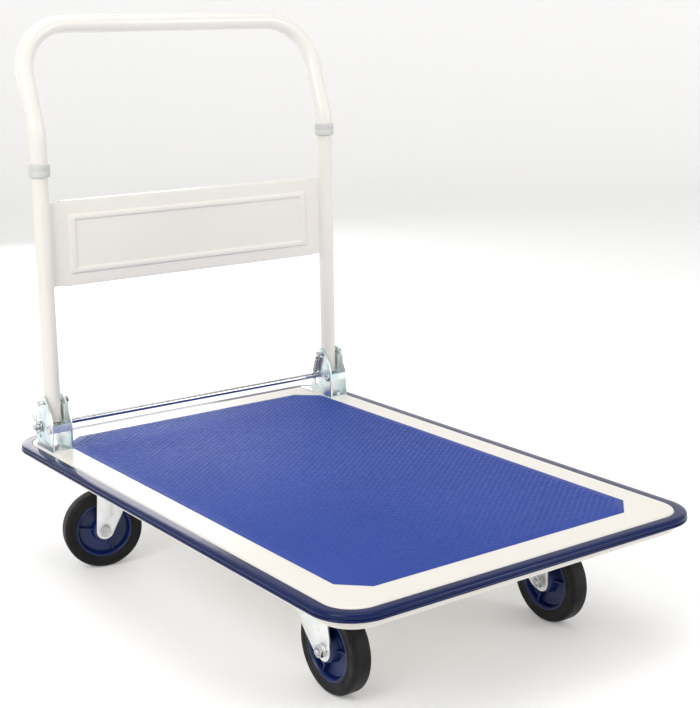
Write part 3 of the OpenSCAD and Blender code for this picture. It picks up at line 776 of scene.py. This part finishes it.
def spots(node):
    """(low, high) boxes of the separate solids in a CAD node that holds several."""
    bm = bmesh.new()
    bm.from_mesh(frame["nodes"][node].data)
    bmesh.ops.remove_doubles(bm, verts=bm.verts, dist=2e-6)
    seen, boxes = set(), []
    for first in bm.verts:
        if first in seen:
            continue
        waiting, group = [first], []
        seen.add(first)
        while waiting:
            vertex = waiting.pop()
            group.append(vertex.co.copy())
            for edge in vertex.link_edges:
                other = edge.other_vert(vertex)
                if other not in seen:
                    seen.add(other)
                    waiting.append(other)
        points = np.array(group)
        boxes.append((Vector(points.min(0)), Vector(points.max(0))))
    bm.free()
    return boxes


def build_bracket_bolts():
    """Bolts of the bracket feet: hexagon head, washer, plain shank and thread."""
    plain = 26 * MM
    bore, washer_r, washer_t = 4.2 * MM, 7.9 * MM, 0.9 * MM
    washer = [(bore, 0), (washer_r - 0.3 * MM, 0), (washer_r, 0.3 * MM)]
    washer += [(washer_r, washer_t), (bore, washer_t)]
    bm = bmesh.new()
    for a, b in spots("bracket_bolts"):
        c = (a + b) / 2
        head = Vector((c.x, c.y, b.z - M8_HEAD))
        end = head - Z * plain
        hex_body(bm, head, Z, M8_FLATS, M8_HEAD, under=False, start=X)
        lathe(bm, washer, head, Z, 48)
        shank(bm, head, -Z, M8_RADIUS, plain)
        threaded(bm, end, -Z, M8_RADIUS, M8_PITCH, end.z - a.z)
    return add_piece("bracket_hex_bolts", bm, ["bracket_bolts"])


def build_nuts(node, piece):
    """Upright M8 nuts."""
    bm = bmesh.new()
    for a, b in spots(node):
        half = (b.z - a.z) / 2
        hex_body(bm, (a + b) / 2 - Z * half, Z, M8_FLATS, 2 * half, bore=M8_RADIUS + BORE_GAP)
    return add_piece(piece, bm, [node])


def build_caster_bolts():
    """M8 bolts with their heads down."""
    bm = bmesh.new()
    for a, b in spots("caster_bolts"):
        c = (a + b) / 2
        head = Vector((c.x, c.y, a.z + M8_HEAD))
        hex_body(bm, head, -Z, M8_FLATS, M8_HEAD, under=False, start=X)
        threaded(bm, head, Z, M8_RADIUS, M8_PITCH, b.z - head.z)
    return add_piece("caster_hex_bolts", bm, ["caster_bolts"])


def build_axle_bolts(node, wheels, axis):
    """Axle bolts: head, plain shank and the threaded end that the nut is on."""
    bm = bmesh.new()
    for wheel in wheels:
        head = middle(wheel + "_tyre") + axis * FORK_HALF
        end = head - axis * 2 * FORK_HALF
        hex_body(bm, head, axis, M10_FLATS, M10_HEAD, under=False)
        shank(bm, head, -axis, M10_RADIUS, 2 * FORK_HALF)
        threaded(bm, end, -axis, M10_RADIUS, M10_PITCH, M10_TAIL)
    return add_piece(node + "_detailed", bm, [node])


def build_axle_nuts(node, wheels, axis):
    """M10 nuts on the axle bolts' threaded ends."""
    bm = bmesh.new()
    for wheel in wheels:
        outer = middle(wheel + "_tyre") - axis * (FORK_HALF + M10_NUT)
        hex_body(bm, outer, axis, M10_FLATS, M10_NUT, bore=M10_RADIUS + BORE_GAP)
    return add_piece(node + "_detailed", bm, [node])


# ---- lock rod, pins and springs ----


def build_split_pins():
    """Bent-wire split pins: a ring below, one leg up and one leg bent to the rear."""
    bm = bmesh.new()
    rod = middle("lock_rod")
    wire = 0.85 * MM
    ring_r = 2.4 * MM
    ring_drop = 8.2 * MM
    along = Vector((0, math.sin(SPLIT_PIN_BEND), math.cos(SPLIT_PIN_BEND)))
    for s in (-1, 1):
        centre = Vector((s * (high("lock_rod").x - 5 * MM), rod.y, rod.z))
        ring = [centre + Vector((0, y, z)) for y, z in arc(0, -ring_drop, ring_r, 110, 430, 25)]
        up = [centre + Vector((0, -wire * 0.9, z * MM)) for z in (-5.4, -3, 0, 4, 7, 12, 17, 20.6)]
        bent = [centre + Vector((0, wire * 0.9, z * MM)) for z in (-5.4, -3, 0, 4, 5.5)]
        knee = bent[-1]
        for i in range(1, 5):
            a = SPLIT_PIN_BEND * i / 4
            knee = knee + 0.8 * MM * Vector((0, math.sin(a), math.cos(a)))
            bent.append(knee)
        bent += [knee + along * 7 * MM, knee + along * 14.5 * MM]
        pipe(bm, [ring[0]] + up, wire, 10)
        pipe(bm, [ring[-1]] + bent, wire, 10)
        pipe(bm, ring, wire * 1.15, 10)
    return add_piece("lock_split_pin_wires", bm, ["lock_split_pins"])


def build_rod():
    """Round bar with chamfered ends."""
    a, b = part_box("lock_rod")
    c = middle("lock_rod")
    r = (b.z - a.z) / 2
    length = b.x - a.x
    chamfer = 0.8 * MM
    profile = [(0.02 * MM, 0), (r - chamfer, 0), (r, chamfer), (r, length - chamfer)]
    profile += [(r - chamfer, length), (0.02 * MM, length)]
    bm = bmesh.new()
    lathe(bm, profile, Vector((a.x, c.y, c.z)), X, 48, Y)
    return add_piece("lock_rod_bar", bm, ["lock_rod"])


def spring_loop(centre, radius, down, out, first):
    """Points of a spring's end loop, open by 40 degrees, from the angle first."""
    angles = [math.radians(first + 320 * i / 27) for i in range(28)]
    return [centre + radius * (math.sin(t) * out - math.cos(t) * down) for t in angles]


def build_spring(node):
    """Close-wound tension spring with a full loop at each end."""
    side = -1 if node.endswith("left") else 1
    a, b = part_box(node)
    rod = middle("lock_rod")
    wire = 0.6 * MM
    r_top, r_low, r_coil = 3.75 * MM, 5.25 * MM, 3.9 * MM
    stud = Vector((middle(node).x, a.y + r_top + wire, b.z - r_top - wire))
    hook = Vector((stud.x, rod.y, rod.z))
    down = (hook - stud).normalized()
    out = X.cross(down).normalized()
    first, last = 7.5 * MM, (hook - stud).length - 9.0 * MM
    steps = 18
    count = int((last - first) / (2.12 * wire)) * steps
    points = spring_loop(stud, r_top, down, out, -70)
    for i in range(count + 1):
        t = 2 * math.pi * i / steps
        place = stud + down * (first + (last - first) * i / count)
        points.append(place + r_coil * (math.sin(t) * side * X - math.cos(t) * out))
    points += spring_loop(hook, r_low, down, out, 290)
    bm = bmesh.new()
    pipe(bm, points, wire, 8)
    stretch = ("lock", stud + down * 6 * MM, hook - down * 8 * MM)
    return add_piece(node + "_coil", bm, [node], 60, stretch)


# ---- wheels ----


def build_tyre(node, axis):
    """Rubber tyre: crowned tread, round shoulders, a step and a bead by the rim."""
    centre = middle(node)
    radius = (high(node).z - low(node).z) / 2
    half = WHEEL_HALF
    seat = 44.05 * MM
    shoulder = 5.6 * MM
    section = [(seat, -half + 0.4 * MM), (seat + 0.5 * MM, -half), (seat + 4 * MM, -half + 0.1 * MM)]
    section += [(seat + 4.6 * MM, -half + 0.6 * MM), (seat + 5.4 * MM, -half + 0.2 * MM)]
    section += arc(radius - shoulder - 0.2 * MM, -half + shoulder, shoulder, -92, -12, 12)
    tread = []
    for i in range(-4, 5):
        h = i / 4 * (half - shoulder * 0.85)
        tread.append((radius - 0.25 * MM * (i / 4) ** 2, h))
    mirrored = [(r, -h) for r, h in reversed(section)]
    bm = bmesh.new()
    lathe(bm, section + tread + mirrored, centre, axis, 128)
    return add_piece(node + "_moulded", bm, [node], 50)


def rib_rings(centre, up, turn, ahead, inner, outer, disc):
    """Sections of one rib, standing along up on the disc, turned from ahead towards Z."""
    angle = math.radians(turn)
    out = math.cos(angle) * ahead + math.sin(angle) * Z
    across = up.cross(out)
    foot, thick = 1.5 * MM, 1.0 * MM
    stations = (
        (inner - 1 * MM, 12.5 * MM),
        (inner + 4 * MM, 11.6 * MM),
        (outer - 11.4 * MM, 10.4 * MM),
        (outer + 0.2 * MM, 11.4 * MM),
    )
    half_section = (
        (foot + 0.5 * MM, disc - 1 * MM, 0),
        (foot, disc + 1.2 * MM, 0),
        (thick, -0.5 * MM, 1),
        (thick * 0.4, 0, 1),
    )
    rings = []
    for r, tall in stations:
        left = [
            centre + out * r + up * (rise + tall * crest) - across * aside
            for aside, rise, crest in half_section
        ]
        right = [
            centre + out * r + up * (rise + tall * crest) + across * aside
            for aside, rise, crest in reversed(half_section)
        ]
        rings.append(left + right)
    return rings


def build_wheel_centre(node, axis):
    """Plastic centre: lipped rim, dished disc, hub boss and thin ribs on both sides."""
    centre = middle(node)
    rim = 43.98 * MM
    half = WHEEL_HALF
    lip = 2.6 * MM
    disc = 3 * MM
    hub = 16.5 * MM
    boss = 17 * MM
    bore = 8.1 * MM
    upper = [
        (rim, half - 0.5 * MM), (rim - 0.5 * MM, half), (rim - lip + 0.8 * MM, half),
        (rim - lip, half - 0.6 * MM), (rim - lip - 1.8 * MM, half - 4 * MM),
        (rim - lip - 2.6 * MM, disc + 3 * MM),
    ]
    upper += arc(rim - lip - 5.6 * MM, disc + 3 * MM, 3 * MM, 0, -90, 5)
    upper += [(hub + 5.5 * MM, disc), (hub + 3.4 * MM, disc + 0.5 * MM)]
    upper += [(hub + 2.2 * MM, disc + 2.2 * MM), (hub + 1.2 * MM, boss - 1.4 * MM)]
    upper += [(hub + 0.4 * MM, boss - 0.4 * MM), (hub - 0.4 * MM, boss)]
    upper += [(bore + 0.5 * MM, boss), (bore, boss - 0.5 * MM)]
    lower = [(r, -h) for r, h in reversed(upper)]
    bm = bmesh.new()
    lathe(bm, upper + lower, centre, axis, 96)
    for turn in (8, 128, 248):
        for side in (-1, 1):
            skin(bm, rib_rings(centre, axis * side, turn, axis.cross(Z), hub, rim - lip, disc))
    return add_piece(node + "_moulded", bm, [node], 40)


# ---- building the object ----

build_deck_pan()
build_bumper()
build_mat()
build_handle()
build_grip()
for node in ("collar_left", "collar_right"):
    build_collar(node)
build_panel()

build_bracket_bolts()
build_nuts("bracket_nuts", "bracket_hex_nuts")
build_caster_bolts()
build_nuts("caster_nuts", "caster_hex_nuts")
build_split_pins()
build_rod()
for node in ("lock_spring_left", "lock_spring_right"):
    build_spring(node)


def axle_axis(wheel_body):
    """Unit direction of a wheel's axle, towards its bolt's head."""
    joint = next(j for j in frame["joints"] if j["child"] == wheel_body)
    return Vector(joint["axis"]).normalized()


FRONT_WHEELS = ("front_left", "front_right")
FRONT_AXLE = axle_axis("front_left_wheel")
REAR_AXLE = -axle_axis("rear_left_wheel")
build_axle_bolts("front_axle_bolts", FRONT_WHEELS, FRONT_AXLE)
build_axle_nuts("front_axle_nuts", FRONT_WHEELS, FRONT_AXLE)
for wheel in FRONT_WHEELS:
    build_tyre(wheel + "_tyre", FRONT_AXLE)
    build_wheel_centre(wheel + "_wheel_centre", FRONT_AXLE)
for wheel in ("rear_left", "rear_right"):
    build_axle_bolts(wheel + "_axle_bolt", [wheel], REAR_AXLE)
    build_axle_nuts(wheel + "_axle_nut", [wheel], REAR_AXLE)
    build_tyre(wheel + "_tyre", REAR_AXLE)
    build_wheel_centre(wheel + "_wheel_centre", REAR_AXLE)

SOFTENED = {
    "hinge_bracket_left": 0.5 * MM,
    "hinge_bracket_right": 0.5 * MM,
    "front_left_fork": 0.5 * MM,
    "front_right_fork": 0.5 * MM,
    "rear_left_fork": 0.5 * MM,
    "rear_right_fork": 0.5 * MM,
    "rear_left_top_plate": 0.5 * MM,
    "rear_right_top_plate": 0.5 * MM,
    "hinge_pins": 0.5 * MM,
    "spring_studs": 0.4 * MM,
    "lock_washers": 0.3 * MM,
    "hinge_shoe_left": 0.3 * MM,
    "hinge_shoe_right": 0.3 * MM,
    "shoe_rivets": 0.4 * MM,
}
for node, bevel in SOFTENED.items():
    refined(node, bevel)

for node, shape in frame["nodes"].items():
    shape.data.materials.clear()
    shape.data.materials.append(FINISHES[SLOT_OF[node]])

# ---- floor, light and camera ----


def build_studio():
    """Pale round floor that curves up into a low wall."""
    radius, height, bend = 7.0, 3.2, 1.6
    profile = [(0.001, 0), (2.0, 0), (radius - bend, 0)]
    profile += arc(radius - bend, bend, bend, -90, 0, 16) + [(radius, height)]
    bm = bmesh.new()
    rings = []
    for i in range(64):
        t = 2 * math.pi * i / 64
        rings.append([Vector((r * math.cos(t), r * math.sin(t), h)) for r, h in profile])
    skin(bm, rings, closed=True, round_ring=False)
    mesh = bpy.data.meshes.new("studio_floor")
    bm.to_mesh(mesh)
    bm.free()
    soften(mesh)
    floor = bpy.data.objects.new("studio_floor", mesh)
    bpy.context.scene.collection.objects.link(floor)
    material, _, shader = new_material("pale_studio_floor")
    shader.inputs["Base Color"].default_value = (0.90, 0.90, 0.90, 1)
    shader.inputs["Emission Color"].default_value = (1, 1, 1, 1)
    shader.inputs["Emission Strength"].default_value = 0.14
    shader.inputs["Roughness"].default_value = 0.9
    shader.inputs["Specular IOR Level"].default_value = 0.1
    mesh.materials.append(material)


def add_area(name, place, target, size, power):
    light = bpy.data.lights.new(name, "AREA")
    light.shape = "RECTANGLE"
    light.size, light.size_y = size
    light.energy = power
    lamp = bpy.data.objects.new(name, light)
    lamp.location = place
    lamp.visible_camera = False
    lamp.rotation_euler = (Vector(target) - Vector(place)).to_track_quat("-Z", "Y").to_euler()
    bpy.context.scene.collection.objects.link(lamp)


def build_world():
    """Soft studio air: brighter on the left and low down, dimmer overhead."""
    world = bpy.data.worlds.new("studio_air")
    bpy.context.scene.world = world
    world.use_nodes = True
    tree = world.node_tree
    place = tree.nodes.new("ShaderNodeTexCoord")
    axes = tree.nodes.new("ShaderNodeSeparateXYZ")
    tree.links.new(place.outputs["Generated"], axes.inputs["Vector"])
    rise = ramp(
        tree,
        axes.outputs["Z"],
        [(0.0, (1.0, 0.985, 0.965)), (0.45, (0.95, 0.935, 0.915)), (0.85, (0.46, 0.455, 0.45))],
    )
    side = tree.nodes.new("ShaderNodeMapRange")
    side.inputs["From Min"].default_value = -1
    side.inputs["To Min"].default_value = WORLD_STRENGTH * 1.25
    side.inputs["To Max"].default_value = WORLD_STRENGTH * 0.75
    tree.links.new(axes.outputs["X"], side.inputs["Value"])
    background = tree.nodes["Background"]
    tree.links.new(rise, background.inputs["Color"])
    tree.links.new(side.outputs["Result"], background.inputs["Strength"])


def build_light():
    build_world()
    add_area("key_left", (-2.6, -0.9, 2.4), (0, 0, 0.3), (1.6, 1.6), 42)
    add_area("fill_right", (1.9, -2.6, 1.5), (0, 0, 0.2), (0.9, 1.6), 20)
    add_area("overhead", (0.2, 0.4, 3.4), (0, 0, 0), (2.6, 2.6), 38)
    add_area("rear_glow", (0.7, 3.4, 1.2), (0, 0, 0.3), (2.0, 1.4), 24)


def build_camera():
    azimuth, elevation, roll = (
        math.radians(v) for v in (CAMERA_AZIMUTH, CAMERA_ELEVATION, CAMERA_ROLL)
    )
    back = Vector((
        math.sin(azimuth) * math.cos(elevation),
        -math.cos(azimuth) * math.cos(elevation),
        math.sin(elevation),
    ))
    right = (-back).cross(Z).normalized()
    up = right.cross(-back)
    turned_right = math.cos(roll) * right + math.sin(roll) * up
    turned_up = -math.sin(roll) * right + math.cos(roll) * up
    data = bpy.data.cameras.new("photo_camera")
    data.sensor_width = 36
    data.sensor_fit = "AUTO"
    data.lens = CAMERA_LENS
    data.shift_x, data.shift_y = CAMERA_SHIFT
    data.clip_start, data.clip_end = 0.05, 50
    camera = bpy.data.objects.new("photo_camera", data)
    turn = Matrix((turned_right, turned_up, back)).transposed()
    camera.matrix_world = Matrix.Translation(CAMERA_PLACE) @ turn.to_4x4()
    bpy.context.scene.collection.objects.link(camera)
    bpy.context.scene.camera = camera


build_studio()
build_light()
build_camera()
bpy.context.scene.view_settings.view_transform = "Standard"
